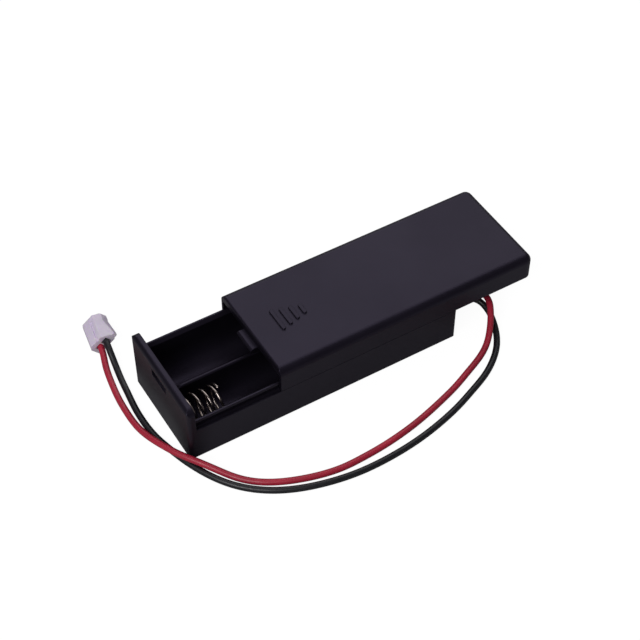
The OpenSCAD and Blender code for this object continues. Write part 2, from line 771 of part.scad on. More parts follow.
// crimped socket contact in one way of the plug, lying on the floor of its cavity
module socket_contact(s) {
    l1 = plug_l - nose_wall - 0.2;
    crimp_l = 1.3;
    w = cavity_w - 0.1;
    h = 1.5;
    t = terminal_t;
    color([0.85, 0.75, 0.5]) at_plug() translate([s * plug_pitch / 2, 0, -cavity_h / 2]) {
        difference() {
            box([-w / 2, entry_l + crimp_l, 0], [w / 2, l1, h]);
            box([-w / 2 + t, entry_l, t], [w / 2 - t, l1 + over, h - t]);
        }
        box([-w / 2, entry_l, 0], [w / 2, entry_l + crimp_l + t, t]);
        for (k = [0, 1]) mirror([k, 0, 0])
            box([w / 2 - t, entry_l, 0], [w / 2, entry_l + crimp_l + t, h / 2]);
    }
}

module red_terminal() {
    socket_contact(-1);
}

module black_terminal() {
    socket_contact(1);
}

tray();
sliding_cover();
bridge_plate();
bridge_spring();
positive_plate();
negative_plate();
negative_spring();
switch_shell();
switch_base();
switch_pin(-1);  // switch_pin_1
switch_pin(0);  // switch_pin_2
switch_pin(1);  // switch_pin_3
switch_slider();
switch_wiper();
jumper_wire();
solder_joints();
red_lead();
black_lead();
plug_housing();
red_terminal();
black_terminal();
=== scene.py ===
"""Looks of a two-cell holder: black moulded tray and sliding cover, sprung contacts,
a slide switch underneath, and a red and a black lead that end in a white nylon plug.

Everything is in metres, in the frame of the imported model: X along the cells towards the
wall where the leads come out, Z up, the tray's underside on the plane z = 0.
"""

import logging
import math
from dataclasses import dataclass
from enum import Enum

import bmesh
import bpy
import numpy as np
from mathutils import Matrix, Vector


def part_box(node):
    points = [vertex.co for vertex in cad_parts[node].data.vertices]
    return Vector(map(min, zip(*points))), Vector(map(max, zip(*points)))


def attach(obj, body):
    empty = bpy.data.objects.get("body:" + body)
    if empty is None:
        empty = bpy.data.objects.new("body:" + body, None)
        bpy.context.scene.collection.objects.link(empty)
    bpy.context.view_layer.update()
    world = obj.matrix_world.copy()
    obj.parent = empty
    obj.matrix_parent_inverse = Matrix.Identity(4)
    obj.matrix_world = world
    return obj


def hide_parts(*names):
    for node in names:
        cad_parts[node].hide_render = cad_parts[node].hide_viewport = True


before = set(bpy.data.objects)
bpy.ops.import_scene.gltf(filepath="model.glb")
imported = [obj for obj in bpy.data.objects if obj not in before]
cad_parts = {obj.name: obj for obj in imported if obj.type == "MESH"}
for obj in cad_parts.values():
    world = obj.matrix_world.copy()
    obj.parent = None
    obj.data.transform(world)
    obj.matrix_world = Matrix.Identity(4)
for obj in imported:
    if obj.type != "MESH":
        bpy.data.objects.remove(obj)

log = logging.getLogger("cell_holder")
MM = 0.001
# corners of a CAD mesh that lie closer than this are one corner, in metres
WELD = 1e-7
# faces that meet at less than this are one flat face
FLAT_ANGLE = math.radians(0.5)
# edges sharper than this are rounded
SHARP_ANGLE = math.radians(35)
# stretch of a noise that is spread over a range of values
NOISE_SPAN = (0.3, 0.7)
# stretch of a noise along which a colour changes
SHADE_SPAN = (0.35, 0.65)
# faces across an edge rounded in the shading
ROUNDING_SAMPLES = 6
Colour = tuple[float, float, float]
Place = tuple[float, float, float]
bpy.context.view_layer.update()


class Body(Enum):
    """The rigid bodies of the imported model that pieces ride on."""

    HOLDER = "holder"
    COVER = "cover"
    SWITCH = "switch_knob"


class Way(Enum):
    """The two ways of the plug: which side of its middle each lead enters."""

    RED = -1
    BLACK = 1


# ---------------------------------------------------------------- geometry


def cubic_line(points: np.ndarray, step: float) -> np.ndarray:
    """Smooth line through points: a natural cubic spline over chord length.

    Between knots i and i + 1 the line is the cubic with second derivatives m[i] and
    m[i + 1], where m solves the usual tridiagonal system with zero at both ends.

    Args:
        points: The knots, one row each.
        step: Distance between the points of the result along the chords.

    Returns:
        The points of the line, one row each, knots at both ends included.
    """
    h = np.linalg.norm(np.diff(points, axis=0), axis=1)
    s = np.concatenate([[0.0], np.cumsum(h)])
    slope = np.diff(points, axis=0) / h[:, None]
    count = len(points)
    system = np.eye(count)
    inner = np.arange(1, count - 1)
    system[inner, inner - 1] = h[:-1]
    system[inner, inner] = 2 * (h[:-1] + h[1:])
    system[inner, inner + 1] = h[1:]
    right = np.zeros_like(points)
    right[1:-1] = 6 * np.diff(slope, axis=0)
    m = np.linalg.solve(system, right)
    t = np.linspace(0, s[-1], max(2, int(round(s[-1] / step)) + 1))
    k = np.clip(np.searchsorted(s, t, side="right") - 1, 0, count - 2)
    a = (s[k + 1] - t)[:, None]
    b = (t - s[k])[:, None]
    hk = h[k][:, None]
    return (
        m[k] * a**3 / (6 * hk)
        + m[k + 1] * b**3 / (6 * hk)
        + (points[k] / hk - m[k] * hk / 6) * a
        + (points[k + 1] / hk - m[k + 1] * hk / 6) * b
    )


def unit_rows(v: np.ndarray) -> np.ndarray:
    """Rows of v, each divided by its own length."""
    return v / np.linalg.norm(v, axis=-1, keepdims=True)


def mesh_object(name: str, co: np.ndarray, faces: list, smooth: bool = True) -> bpy.types.Object:
    """A new object at the origin from corner positions and faces.

    Args:
        name: Name of the piece.
        co: Corner positions in metres, one row each.
        faces: Faces as lists of corner numbers, pointing outwards.
        smooth: Whether the faces are shaded smooth.

    Returns:
        The object, linked into the scene.
    """
    mesh = bpy.data.meshes.new(name)
    mesh.from_pydata(co.tolist(), [], faces)
    mesh.polygons.foreach_set("use_smooth", np.full(len(mesh.polygons), smooth))
    mesh.update()
    piece = bpy.data.objects.new(name, mesh)
    bpy.context.scene.collection.objects.link(piece)
    return piece


def tube_faces(rings: int, sides: int) -> list[list[int]]:
    """Faces of a tube whose corners run ring by ring, closed at both ends.

    Corner k of ring i has the number i * sides + k. Each quad joins the corners k and
    k + 1 of two neighbouring rings, and one face of a whole ring closes each end.

    Args:
        rings: Number of rings along the tube.
        sides: Number of corners in a ring.

    Returns:
        The faces as lists of corner numbers.
    """
    i, k = np.meshgrid(np.arange(rings - 1), np.arange(sides), indexing="ij")
    n = (k + 1) % sides
    quads = np.stack([i * sides + k, (i + 1) * sides + k, (i + 1) * sides + n, i * sides + n], axis=-1)
    last = rings * sides - 1
    caps = [list(range(sides)), list(range(last, last - sides, -1))]
    return quads.reshape(-1, 4).tolist() + caps


def swept_tube(name: str, line: np.ndarray, radius: float, sides: int) -> bpy.types.Object:
    """Round tube along a line, closed at both ends.

    Ring i is line[i] + radius * (cos a * side + sin a * up), where side is level and
    square to the line, and up is square to both.

    Args:
        name: Name of the piece.
        line: Points of the centreline, one row each.
        radius: Radius of the tube.
        sides: Number of faces round the tube.

    Returns:
        The tube's object.
    """
    heading = unit_rows(np.gradient(line, axis=0))
    side = unit_rows(np.cross(heading, [0.0, 0.0, 1.0]))
    up = np.cross(side, heading)
    angle = np.linspace(0, 2 * math.pi, sides, endpoint=False)
    ring = np.cos(angle)[None, :, None] * side[:, None] + np.sin(angle)[None, :, None] * up[:, None]
    co = (line[:, None] + radius * ring).reshape(-1, 3)
    piece = mesh_object(name, co, tube_faces(len(line), sides))
    recalculate(piece)
    return piece


def recalculate(piece: bpy.types.Object) -> None:
    """Turn a closed mesh's faces outwards.

    Args:
        piece: The object whose mesh is turned.
    """
    shape = bmesh.new()
    shape.from_mesh(piece.data)
    bmesh.ops.recalc_face_normals(shape, faces=shape.faces)
    shape.to_mesh(piece.data)
    shape.free()


def softened_copy(node: str, name: str, width: float, segments: int = 2) -> bpy.types.Object:
    """Copy of a CAD node with its edges rounded, standing in for the node.

    The copy's doubled corners are merged and its flat faces joined, and every edge
    sharper than 35 degrees is bevelled.

    Args:
        node: Name of the CAD node.
        name: Name of the new piece.
        width: Width of the rounding in metres.
        segments: Number of faces across the rounding.

    Returns:
        The new piece, which replaces the node.
    """
    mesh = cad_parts[node].data.copy()
    shape = bmesh.new()
    shape.from_mesh(mesh)
    bmesh.ops.remove_doubles(shape, verts=shape.verts, dist=WELD)
    bmesh.ops.dissolve_limit(shape, angle_limit=FLAT_ANGLE, verts=shape.verts, edges=shape.edges)
    shape.to_mesh(mesh)
    shape.free()
    mesh.polygons.foreach_set("use_smooth", np.full(len(mesh.polygons), True))
    mesh.materials.clear()
    piece = bpy.data.objects.new(name, mesh)
    bpy.context.scene.collection.objects.link(piece)
    bevel = piece.modifiers.new("rounded edges", "BEVEL")
    bevel.width = width
    bevel.segments = segments
    bevel.limit_method = "ANGLE"
    bevel.angle_limit = SHARP_ANGLE
    bevel.harden_normals = True
    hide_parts(node)
    return piece


# ---------------------------------------------------------------- finishes


@dataclass(frozen=True)
class Finish:
    """What every finish has: a name, a colour and how polished it is.

    In the finishes below, a scale is a number of grains to the metre, and a depth, a reach
    and an edge are lengths in metres. A polish span is added to the roughness at the two
    ends of a noise.
    """

    name: str
    colour: Colour
    roughness: float

    def material(self) -> bpy.types.Material:
        """The finish's material, made once and then shared.

        Returns:
            The material, under the finish's name.
        """
        found = bpy.data.materials.get(self.name)
        if found is not None:
            return found
        made = bpy.data.materials.new(self.name)
        made.use_nodes = True
        made.diffuse_color = (*self.colour, 1.0)
        shader = made.node_tree.nodes["Principled BSDF"]
        shader.inputs["Base Color"].default_value = (*self.colour, 1.0)
        shader.inputs["Roughness"].default_value = self.roughness
        self.dress(made.node_tree, shader)
        return made

    def dress(self, tree: bpy.types.NodeTree, shader: bpy.types.Node) -> None:
        """Add what is particular to the finish; the plain finish adds nothing.

        Args:
            tree: The material's node tree.
            shader: The node that the finish is fed to.
        """

    def grain(self, tree: bpy.types.NodeTree, scale: float, detail: float = 2.0) -> bpy.types.Node:
        """Noise on object coordinates.

        Args:
            tree: The material's node tree.
            scale: Number of grains to the metre.
            detail: Octaves of the noise.

        Returns:
            The noise node.
        """
        place = tree.nodes.new("ShaderNodeTexCoord")
        noise = tree.nodes.new("ShaderNodeTexNoise")
        noise.inputs["Scale"].default_value = scale
        noise.inputs["Detail"].default_value = detail
        tree.links.new(place.outputs["Object"], noise.inputs["Vector"])
        return noise

    def vary(self, tree: bpy.types.NodeTree, source: bpy.types.Node, low: float, high: float,
             socket: bpy.types.NodeSocket) -> None:
        """Spread a noise between two values and feed it to a socket.

        Args:
            tree: The material's node tree.
            source: The noise node.
            low: Value where the noise is low.
            high: Value where the noise is high.
            socket: The socket that takes the value.
        """
        spread = tree.nodes.new("ShaderNodeMapRange")
        spread.inputs["From Min"].default_value = NOISE_SPAN[0]
        spread.inputs["From Max"].default_value = NOISE_SPAN[1]
        spread.inputs["To Min"].default_value = low
        spread.inputs["To Max"].default_value = high
        tree.links.new(source.outputs["Fac"], spread.inputs["Value"])
        tree.links.new(spread.outputs["Result"], socket)

    def tint(self, tree: bpy.types.NodeTree, source: bpy.types.Node, first: Colour, second: Colour,
             socket: bpy.types.NodeSocket) -> None:
        """Run a colour from one shade to another along a noise and feed it to a socket.

        Args:
            tree: The material's node tree.
            source: The noise node.
            first: Colour where the noise is low.
            second: Colour where the noise is high.
            socket: The socket that takes the colour.
        """
        ramp = tree.nodes.new("ShaderNodeValToRGB")
        ramp.color_ramp.elements[0].position = SHADE_SPAN[0]
        ramp.color_ramp.elements[0].color = (*first, 1.0)
        ramp.color_ramp.elements[1].position = SHADE_SPAN[1]
        ramp.color_ramp.elements[1].color = (*second, 1.0)
        tree.links.new(source.outputs["Fac"], ramp.inputs["Fac"])
        tree.links.new(ramp.outputs["Color"], socket)

    def emboss(self, tree: bpy.types.NodeTree, shader: bpy.types.Node, height: bpy.types.NodeSocket,
               strength: float, depth: float, edge: float = 0.0) -> None:
        """Bump from a height, over edges rounded in the shading.

        Args:
            tree: The material's node tree.
            shader: The node whose normal is bent.
            height: Socket that gives the height, 0 to 1.
            strength: Strength of the bump.
            depth: What a height of one stands for, in metres.
            edge: Radius of the rounding in the shading, none if zero.
        """
        bump = tree.nodes.new("ShaderNodeBump")
        bump.inputs["Strength"].default_value = strength
        bump.inputs["Distance"].default_value = depth
        tree.links.new(height, bump.inputs["Height"])
        if edge > 0:
            rounding = tree.nodes.new("ShaderNodeBevel")
            rounding.samples = ROUNDING_SAMPLES
            rounding.inputs["Radius"].default_value = edge
            tree.links.new(rounding.outputs["Normal"], bump.inputs["Normal"])
        tree.links.new(bump.outputs["Normal"], shader.inputs["Normal"])


@dataclass(frozen=True)
class MouldedPlastic(Finish):
    """Black styrene moulding with a fine spark-eroded surface."""

    sheen_tint: Colour = (0.74, 0.63, 1.0)
    polish_scale: float = 45.0
    polish_span: tuple[float, float] = (-0.04, 0.05)
    shade_scale: float = 160.0
    shade_lift: float = 1.35
    grain_scale: float = 2600.0
    grain_strength: float = 0.16
    grain_depth: float = 0.00004
    edge: float = 0.00022

    def dress(self, tree: bpy.types.NodeTree, shader: bpy.types.Node) -> None:
        """Fine grain in the normal, slow change in the polish, a lilac cast in the gloss.

        Args:
            tree: The material's node tree.
            shader: The node that the finish is fed to.
        """
        shader.inputs["Specular Tint"].default_value = (*self.sheen_tint, 1.0)
        low, high = (self.roughness + part for part in self.polish_span)
        self.vary(tree, self.grain(tree, self.polish_scale, 3.0), low, high, shader.inputs["Roughness"])
        lighter = tuple(min(1.0, self.shade_lift * part) for part in self.colour)
        patches = self.grain(tree, self.shade_scale, 4.0)
        self.tint(tree, patches, self.colour, lighter, shader.inputs["Base Color"])
        fine = self.grain(tree, self.grain_scale)
        self.emboss(tree, shader, fine.outputs["Fac"], self.grain_strength, self.grain_depth, self.edge)


@dataclass(frozen=True)
class PlatedSteel(Finish):
    """Nickel-plated spring steel, stamped, with faint rolling lines."""

    stain: Colour = (1.0, 0.93, 0.84)
    stain_scale: float = 350.0
    line_scale: Place = (9000.0, 9000.0, 300.0)
    line_strength: float = 0.12
    line_depth: float = 0.00001
    polish_span: tuple[float, float] = (-0.06, 0.1)
    edge: float = 0.0001

    def dress(self, tree: bpy.types.NodeTree, shader: bpy.types.Node) -> None:
        """Metal with rolling lines across the strip and a slightly warm stain.

        Args:
            tree: The material's node tree.
            shader: The node that the finish is fed to.
        """
        shader.inputs["Metallic"].default_value = 1.0
        warm = tuple(part * share for part, share in zip(self.colour, self.stain))
        patches = self.grain(tree, self.stain_scale, 3.0)
        self.tint(tree, patches, self.colour, warm, shader.inputs["Base Color"])
        place = tree.nodes.new("ShaderNodeTexCoord")
        stretch = tree.nodes.new("ShaderNodeMapping")
        stretch.inputs["Scale"].default_value = self.line_scale
        lines = tree.nodes.new("ShaderNodeTexNoise")
        lines.inputs["Scale"].default_value = 1.0
        tree.links.new(place.outputs["Object"], stretch.inputs["Vector"])
        tree.links.new(stretch.outputs["Vector"], lines.inputs["Vector"])
        low, high = (self.roughness + part for part in self.polish_span)
        self.vary(tree, lines, low, high, shader.inputs["Roughness"])
        self.emboss(tree, shader, lines.outputs["Fac"], self.line_strength, self.line_depth, self.edge)


@dataclass(frozen=True)
class CableSheath(Finish):
    """Soft vinyl sheath of a thin lead, with the faint waves of extrusion."""

    coat: float = 0.15
    coat_roughness: float = 0.35
    glow: float = 0.08
    glow_reach: Place = (0.0006, 0.0003, 0.0003)
    shade_scale: float = 120.0
    shade_drop: float = 0.8
    wave_scale: float = 900.0
    wave_strength: float = 0.15
    wave_depth: float = 0.00005
    polish_span: tuple[float, float] = (-0.05, 0.08)

    def dress(self, tree: bpy.types.NodeTree, shader: bpy.types.Node) -> None:
        """Waxy gloss, a slow change of shade and very small waves.

        Args:
            tree: The material's node tree.
            shader: The node that the finish is fed to.
        """
        shader.inputs["Coat Weight"].default_value = self.coat
        shader.inputs["Coat Roughness"].default_value = self.coat_roughness
        shader.inputs["Subsurface Weight"].default_value = self.glow
        shader.inputs["Subsurface Radius"].default_value = self.glow_reach
        shader.inputs["Subsurface Scale"].default_value = 1.0
        darker = tuple(self.shade_drop * part for part in self.colour)
        patches = self.grain(tree, self.shade_scale, 3.0)
        self.tint(tree, patches, darker, self.colour, shader.inputs["Base Color"])
        waves = self.grain(tree, self.wave_scale)
        low, high = (self.roughness + part for part in self.polish_span)
        self.vary(tree, waves, low, high, shader.inputs["Roughness"])
        self.emboss(tree, shader, waves.outputs["Fac"], self.wave_strength, self.wave_depth)


@dataclass(frozen=True)
class NaturalNylon(Finish):
    """Undyed nylon: pale, a little see-through at its edges, smooth."""

    glow: float = 0.35
    glow_reach: Place = (0.0012, 0.001, 0.0014)
    flow_tint: Colour = (0.93, 0.93, 0.98)
    flow_scale: float = 260.0
    grain_scale: float = 1500.0
    grain_strength: float = 0.12
    grain_depth: float = 0.00004
    polish_span: tuple[float, float] = (-0.05, 0.07)
    edge: float = 0.00012

    def dress(self, tree: bpy.types.NodeTree, shader: bpy.types.Node) -> None:
        """Light that travels under the skin, flow marks and a soft surface.

        Args:
            tree: The material's node tree.
            shader: The node that the finish is fed to.
        """
        shader.inputs["Subsurface Weight"].default_value = self.glow
        shader.inputs["Subsurface Radius"].default_value = self.glow_reach
        shader.inputs["Subsurface Scale"].default_value = 1.0
        cooler = tuple(part * share for part, share in zip(self.colour, self.flow_tint))
        marks = self.grain(tree, self.flow_scale, 3.0)
        self.tint(tree, marks, self.colour, cooler, shader.inputs["Base Color"])
        fine = self.grain(tree, self.grain_scale)
        low, high = (self.roughness + part for part in self.polish_span)
        self.vary(tree, fine, low, high, shader.inputs["Roughness"])
        self.emboss(tree, shader, fine.outputs["Fac"], self.grain_strength, self.grain_depth, self.edge)


@dataclass(frozen=True)
class SpeckledMetal(Finish):
    """Brass or solder: metal with a mottled tarnish."""

    tarnish: float = 0.75
    patch_scale: float = 900.0
    dulling: float = 0.15
    pit_strength: float = 0.2
    pit_depth: float = 0.00003

    def dress(self, tree: bpy.types.NodeTree, shader: bpy.types.Node) -> None:
        """Metal whose shade and polish change in small patches.

        Args:
            tree: The material's node tree.
            shader: The node that the finish is fed to.
        """
        shader.inputs["Metallic"].default_value = 1.0
        dull = tuple(self.tarnish * part for part in self.colour)
        patches = self.grain(tree, self.patch_scale, 4.0)
        self.tint(tree, patches, dull, self.colour, shader.inputs["Base Color"])
        rough = self.roughness + self.dulling
        self.vary(tree, patches, self.roughness, rough, shader.inputs["Roughness"])
        self.emboss(tree, shader, patches.outputs["Fac"], self.pit_strength, self.pit_depth)


@dataclass(frozen=True)
class Laminate(Finish):
    """Brown paper laminate of the switch's board."""

    fibre_scale: float = 2200.0
    fibre_strength: float = 0.2
    fibre_depth: float = 0.00002
    shade_lift: float = 1.5

    def dress(self, tree: bpy.types.NodeTree, shader: bpy.types.Node) -> None:
        """Paper fibres in the colour and the surface.

        Args:
            tree: The material's node tree.
            shader: The node that the finish is fed to.
        """
        fibres = self.grain(tree, self.fibre_scale, 5.0)
        paler = tuple(min(1.0, self.shade_lift * part) for part in self.colour)
        self.tint(tree, fibres, self.colour, paler, shader.inputs["Base Color"])
        self.emboss(tree, shader, fibres.outputs["Fac"], self.fibre_strength, self.fibre_depth)


BLACK_STYRENE = MouldedPlastic("black styrene", (0.0042, 0.0036, 0.0056), 0.4)
COVER_STYRENE = MouldedPlastic("cover styrene", (0.0042, 0.0036, 0.006), 0.42)
KNOB_PLASTIC = MouldedPlastic("knob plastic", (0.012, 0.012, 0.013), 0.5, grain_scale=4000.0)
NICKEL_STRIP = PlatedSteel("nickel strip", (0.66, 0.62, 0.57), 0.28)
SPRING_WIRE = SpeckledMetal("spring wire", (0.46, 0.4, 0.37), 0.13, tarnish=0.85)
CONTACT_BRASS = SpeckledMetal("contact brass", (0.78, 0.6, 0.3), 0.3)
SOLDER = SpeckledMetal("solder", (0.72, 0.72, 0.74), 0.25, tarnish=0.8)
RED_SHEATH = CableSheath("red sheath", (0.58, 0.024, 0.06), 0.42)
BLACK_SHEATH = CableSheath("black sheath", (0.01, 0.01, 0.014), 0.4)
WHITE_NYLON = NaturalNylon("white nylon", (0.9, 0.8, 0.98), 0.42)
BROWN_BOARD = Laminate("brown board", (0.12, 0.06, 0.03), 0.6)


def dress(piece: bpy.types.Object, finish: Finish) -> None:
    """Give a piece, new or carried over, one finish all over.

    Args:
        piece: The piece.
        finish: Its finish, assigned to every material slot.
    """
    slots = piece.data.materials
    if len(slots) == 0:
        slots.append(finish.material())
    for index in range(len(slots)):
        slots[index] = finish.material()
    log.info("%s: %s", piece.name, finish.name)


# ---------------------------------------------------------------- camera and leads


@dataclass
class Viewpoint:
    """The camera: where it stands, what it looks at and its lens."""

    stand: Place = (-112.45 * MM, -196.45 * MM, 268.19 * MM)
    aim: Place = (6.5 * MM, 0.95 * MM, 8.15 * MM)
    lens_mm: float = 87.05
    sensor_mm: float = 36.0
    nearest: float = 0.01
    farthest: float = 10.0

    def build(self) -> None:
        """Put up the camera and make it the scene's."""
        data = bpy.data.cameras.new("camera")
        data.lens = self.lens_mm
        data.sensor_width = self.sensor_mm
        data.clip_start = self.nearest
        data.clip_end = self.farthest
        camera = bpy.data.objects.new("camera", data)
        camera.location = self.stand
        gaze = Vector(self.aim) - Vector(self.stand)
        camera.rotation_euler = gaze.to_track_quat("-Z", "Y").to_euler()
        bpy.context.scene.collection.objects.link(camera)
        bpy.context.scene.camera = camera
        log.info("camera stands %.0f mm from the holder", gaze.length / MM)


@dataclass
class PlugSeat:
    """Where the plug lies: its place in millimetres, its turn on the floor and its roll."""

    x: float = -36.8
    y: float = 23.9
    width: float = 5.5
    below: float = 1.4
    turn_deg: float = -9.5
    roll_deg: float = 44.0
    pitch: float = 2.0

    def point(self, way: Way, depth: float) -> list[float]:
        """Point in one way of the plug, in millimetres.

        Args:
            way: Which way of the plug.
            depth: Distance in from the face where the leads enter.

        Returns:
            The point as x, y and z.
        """
        roll, turn = math.radians(self.roll_deg), math.radians(self.turn_deg)
        across = way.value * self.pitch / 2 * math.cos(roll)
        rise = way.value * self.pitch / 2 * math.sin(roll)
        height = self.width / 2 * math.sin(roll) + self.below * math.cos(roll)
        return [
            self.x + across * math.cos(turn) - depth * math.sin(turn),
            self.y + across * math.sin(turn) + depth * math.cos(turn),
            height + rise,
        ]


@dataclass
class Leads:
    """The red and black leads: from the switch bay, out of the rear wall, round to the plug.

    Sizes are in millimetres, as in the part's source.
    """

    diameter: float = 1.5
    jumper_diameter: float = 1.2
    sides: int = 24
    step: float = 0.6
    seat_depth: float = 3.4
    straight: float = 1.8
    red_exit: Place = (31.95, -6.0, 5.0)
    black_exit: Place = (31.95, -8.5, 4.2)

    def red_route(self, seat: PlugSeat) -> np.ndarray:
        """Points of the red lead, as in the part's source.

        Args:
            seat: Where the plug lies.

        Returns:
            The points in millimetres, one row each, from the switch bay to the plug.
        """
        return np.array([
            [26.6, 0.1, 9.3], [27.6, -0.4, 9.1], [28.7, -1.9, 8.3], [29.3, -3.5, 6.9],
            [30.2, -5.2, 5.6], self.red_exit, [38, -6, 5],
            [41.6, -6.1, 4.9], [44.2, -7.6, 4.6], [44.9, -10.2, 4.2], [43.8, -13.1, 3.6],
            [41.4, -16.5, 2.2], [38.3, -19.6, 1.1], [34.4, -22, 0.8], [30, -24, 0.8],
            [25.6, -25.9, 0.8], [21, -27.5, 0.8], [16.4, -28.9, 0.8], [11.7, -30.1, 0.8],
            [6.9, -31, 0.8], [2.1, -31.6, 0.8], [-2.7, -31.9, 0.8], [-7.5, -31.9, 0.8],
            [-12.2, -31.2, 0.8], [-16.8, -29.9, 0.8], [-21.2, -28.1, 0.8], [-25.1, -25.7, 0.8],
            [-28.4, -22.5, 0.9], [-31.3, -19.1, 1.8], [-34, -15.6, 2.5], [-36.3, -12, 2.5],
            [-38.1, -8.2, 2.3], [-39.4, -4.1, 1.6], [-40.2, 0.4, 0.9], [-40.4, 5, 0.8],
            [-40.2, 9.7, 0.8], [-39.6, 14.4, 0.9], [-38.8, 18.8, 1.6],
            seat.point(Way.RED, -self.straight), seat.point(Way.RED, self.seat_depth),
        ])

    def black_route(self, seat: PlugSeat) -> np.ndarray:
        """Points of the black lead, as in the part's source.

        Args:
            seat: Where the plug lies.

        Returns:
            The points in millimetres, one row each, from the switch bay to the plug.
        """
        return np.array([
            [21.35, 1.1, 10.1], [21.25, -1, 9.1], [21.25, -3.2, 7.5], [21.65, -5.3, 6],
            [23.65, -7.4, 4.8], self.black_exit, [37, -8.5, 4.2],
            [39.2, -8.1, 4], [41, -7.6, 3.6], [42.6, -7.9, 3.1], [43.7, -8.9, 2.6],
            [44.2, -10.4, 2.1], [44.2, -12.4, 1.6], [43.6, -14.9, 1.1], [42.3, -17.9, 0.8],
            [40, -21.2, 0.8], [36.6, -24.3, 0.8], [32.6, -26.8, 0.8], [28.3, -28.7, 0.8],
            [23.3, -30.7, 0.8], [18.2, -32.3, 0.8], [10.4, -34, 0.8], [2.5, -34.8, 0.8],
            [-5.4, -34.7, 0.8], [-13.1, -33.4, 0.8], [-18, -31.9, 0.8], [-24.5, -28.6, 0.8],
            [-29.8, -23.8, 0.8], [-32.4, -20, 0.8], [-34.3, -16.2, 0.8], [-35.8, -12.3, 0.8],
            [-37, -8.2, 0.8], [-38, -3.9, 0.8], [-38.4, 0.6, 0.8], [-38.3, 5.2, 0.8],
            [-37.8, 9.8, 0.8], [-37.3, 14.2, 0.9], [-36.8, 18.2, 1.9],
            seat.point(Way.BLACK, -self.straight), seat.point(Way.BLACK, self.seat_depth),
        ])

    def jumper_route(self) -> np.ndarray:
        """Points of the short wire from the positive tab to the first switch pin."""
        return np.array([
            [21.45, -4.95, 10.4], [22.25, -3.85, 10.5], [23.55, -2.95, 10.2], [25.05, -2.5, 9.5],
        ])

    def lay(self, name: str, node: str, route: np.ndarray, diameter: float,
            finish: Finish) -> tuple[bpy.types.Object, np.ndarray]:
        """Make one wire in place of its CAD node.

        Args:
            name: Name of the piece.
            node: The CAD node that it replaces.
            route: Its points in millimetres.
            diameter: Its diameter in millimetres.
            finish: Finish of its sheath.

        Returns:
            The piece and its centreline in metres.
        """
        line = cubic_line(route, self.step) * MM
        piece = swept_tube(name, line, diameter / 2 * MM, self.sides)
        dress(piece, finish)
        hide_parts(node)
        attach(piece, Body.HOLDER.value)
        return piece, line

    def build(self, plug: bpy.types.Object) -> None:
        """Args:
            plug: The plug's housing, in which both leads end. Not used.
        """
        seat = PlugSeat()
        makes = (
            ("red", self.red_route(seat), RED_SHEATH),
            ("black", self.black_route(seat), BLACK_SHEATH),
        )
        for colour, route, finish in makes:
            piece, line = self.lay(f"{colour}_cable", f"{colour}_lead", route, self.diameter, finish)
        route = self.jumper_route()
        piece, _ = self.lay("jumper_sheath", "jumper_wire", route, self.jumper_diameter, RED_SHEATH)


@dataclass
class Plug:
    """Two-way nylon plug and the socket contacts in it."""

    rounding: float = 0.14 * MM
    rounding_faces: int = 3

    def build(self) -> bpy.types.Object:
        """Soften the housing, and dress it and its contacts.

        Returns:
            The housing.
        """
        shell = softened_copy("plug_housing", "plug_shell", self.rounding, self.rounding_faces)
        dress(shell, WHITE_NYLON)
        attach(shell, Body.HOLDER.value)
        for way in Way:
            dress(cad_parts[f"{way.name.lower()}_terminal"], CONTACT_BRASS)
        log.info("plug: housing and two socket contacts")
        return shell


# ---------------------------------------------------------------- mouldings


@dataclass
class Mouldings:
    """Tray and sliding cover, each with its finish."""

    finishes: tuple[tuple[str, Finish], ...] = (
        ("tray", BLACK_STYRENE),
        ("sliding_cover", COVER_STYRENE),
    )

    def build(self) -> None:
        """Dress both mouldings in black styrene."""
        for node, finish in self.finishes:
            dress(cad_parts[node], finish)
        log.info("mouldings: tray and sliding cover")


# ---------------------------------------------------------------- contacts and switch


